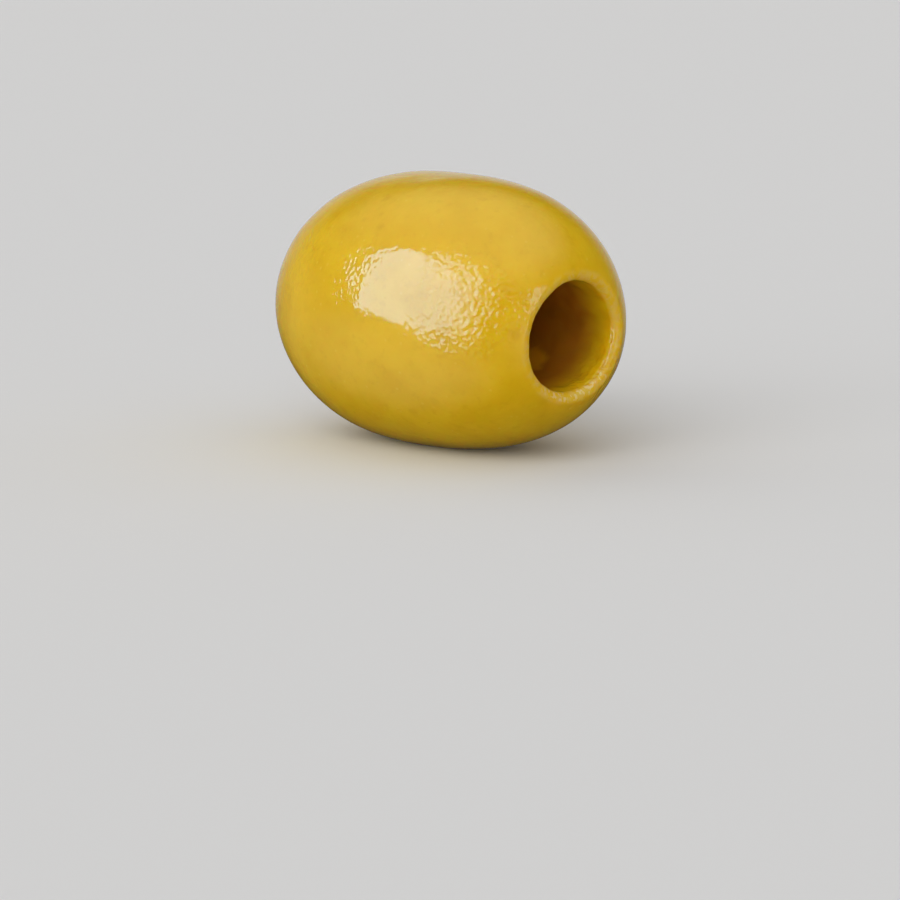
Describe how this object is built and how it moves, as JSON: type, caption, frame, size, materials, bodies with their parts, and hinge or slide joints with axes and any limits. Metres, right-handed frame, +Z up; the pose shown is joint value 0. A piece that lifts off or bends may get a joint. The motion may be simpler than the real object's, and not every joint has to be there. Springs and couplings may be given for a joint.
{
  "type": "pitted green olive",
  "caption": "Pitted green olive lying on its side, with a round cored cavity open at one end and a small cross cut at the other.",
  "frame": {"origin": "bottom centre of the bounding box, on the surface the olive lies on", "axes": "+X along the fruit's long axis, out of the mouth of the cavity; +Z up from the belly it rests on"},
  "size_m": [0.0248, 0.018, 0.0177],
  "materials": {
    "olive_flesh": "moist, softly glossy yellow-green skin, browner inside the cavity"
  },
  "bodies": {
    "root": {"olive": "olive_flesh"}
  },
  "joints": []
}
